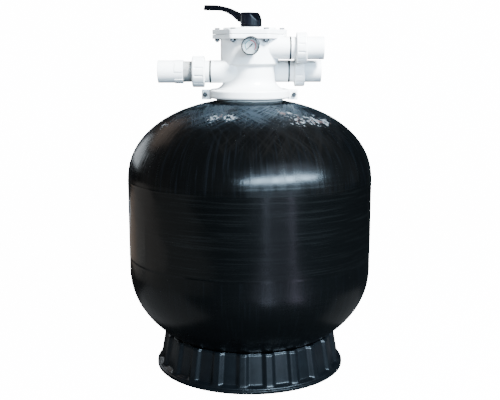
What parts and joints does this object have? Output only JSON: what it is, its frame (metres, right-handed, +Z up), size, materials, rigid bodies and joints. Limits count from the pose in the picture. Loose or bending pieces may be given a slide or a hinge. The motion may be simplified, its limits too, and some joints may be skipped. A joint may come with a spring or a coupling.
{
  "type": "sand filter tank",
  "caption": "Top-mount pool sand filter: wound black tank on a fluted foot, clamped white multiport valve with lever handle, gauge and union sockets.",
  "frame": {"origin": "centre of the floor under the foot", "axes": "+Z up; -Y towards the gauge side; +X towards the pump and return ports"},
  "size_m": [0.65, 0.65, 0.968],
  "materials": {
    "tank_black": "wound fibre under gloss resin",
    "moulded_black": "satin moulded",
    "moulded_white": "satin moulded",
    "inner_plastic": "moulded",
    "seal_rubber": "soft rubber",
    "steel": "plain stainless",
    "handle_gloss": "gloss moulded",
    "gauge_steel": "polished stainless",
    "gauge_brass": "turned brass",
    "dial_white": "printed white",
    "needle_black": "black paint",
    "gauge_glass": "clear",
    "sight_glass": "clear moulded plastic"
  },
  "bodies": {
    "root": {"tank_shell": "tank_black", "foot_base": "moulded_black", "drain_spout": "moulded_black", "valve_body": "moulded_white", "valve_lid": "moulded_white", "clamp_front": "moulded_white", "clamp_rear": "moulded_white", "pump_adapter": "moulded_white", "pump_tail": "moulded_white", "return_adapter": "moulded_white", "return_tail": "moulded_white", "waste_adapter": "moulded_white", "waste_socket": "moulded_white", "tank_neck_flange": "inner_plastic", "standpipe": "inner_plastic", "lateral_hub": "inner_plastic", "top_diffuser": "inner_plastic", "lateral_1": "inner_plastic", "lateral_2": "inner_plastic", "lateral_3": "inner_plastic", "lateral_4": "inner_plastic", "lateral_5": "inner_plastic", "lateral_6": "inner_plastic", "lateral_7": "inner_plastic", "lateral_8": "inner_plastic", "tank_seal": "seal_rubber", "lid_seal": "seal_rubber", "shaft_seal": "seal_rubber", "spider_gasket": "seal_rubber", "drain_gasket": "seal_rubber", "pump_port_ring": "seal_rubber", "return_port_ring": "seal_rubber", "waste_port_ring": "seal_rubber", "pump_union_seal": "seal_rubber", "return_union_seal": "seal_rubber", "waste_union_seal": "seal_rubber", "clamp_bolts": "steel", "clamp_nuts": "steel", "lid_bolts": "steel", "lid_nuts": "steel", "rotor_spring": "steel", "spring_washer": "steel", "gauge_case": "gauge_steel", "gauge_bezel": "gauge_steel", "gauge_stem": "gauge_brass", "gauge_dial": "dial_white", "gauge_lens": "gauge_glass", "waste_sight_glass": "sight_glass"},
    "selector": {"handle_washer": "inner_plastic"},
    "rotor": {"rotor": "inner_plastic", "handle_pin": "steel"},
    "handle": {"handle": "handle_gloss"},
    "gauge_needle": {"gauge_needle": "needle_black"},
    "pump_nut": {"pump_union_nut": "moulded_white"},
    "return_nut": {"return_union_nut": "moulded_white"},
    "waste_nut": {"waste_union_nut": "moulded_white"},
    "drain_cap": {"drain_cap": "moulded_black"}
  },
  "joints": [
    {"name": "selector_turn", "type": "hinge", "parent": "root", "child": "selector", "pos_m": [0, 0, 0.9], "axis": [0, 0, 1], "continuous": true},
    {"name": "rotor_lift", "type": "slide", "parent": "selector", "child": "rotor", "axis": [0, 0, 1], "range_m": [0, 0.0061], "deforming": ["rotor_spring"]},
    {"name": "handle_tilt", "type": "hinge", "parent": "rotor", "child": "handle", "pos_m": [0, 0, 0.914], "axis": [-0.5, -0.866, 0], "range_deg": [0, 20], "stiffness_Nm_per_rad": 2, "springref_deg": -11.46},
    {"name": "gauge_needle_turn", "type": "hinge", "parent": "root", "child": "gauge_needle", "pos_m": [0.00209, -0.1076, 0.85975], "axis": [0.0775, 0.9846, 0.1564], "range_deg": [0, 270]},
    {"name": "pump_nut_turn", "type": "hinge", "parent": "root", "child": "pump_nut", "pos_m": [0.13, -0.03, 0.8545], "axis": [1, 0, 0], "continuous": true},
    {"name": "return_nut_turn", "type": "hinge", "parent": "root", "child": "return_nut", "pos_m": [0.13, 0.03, 0.794], "axis": [1, 0, 0], "continuous": true},
    {"name": "waste_nut_turn", "type": "hinge", "parent": "root", "child": "waste_nut", "pos_m": [-0.13, -0.03, 0.794], "axis": [-1, 0, 0], "continuous": true},
    {"name": "drain_cap_turn", "type": "hinge", "parent": "root", "child": "drain_cap", "pos_m": [0, 0.305, 0.15], "axis": [0, 1, 0], "continuous": true}
  ],
  "couplings": [
    {"joint": "rotor_lift", "follows": "handle_tilt", "m_per_rad": 0.0172}
  ]
}
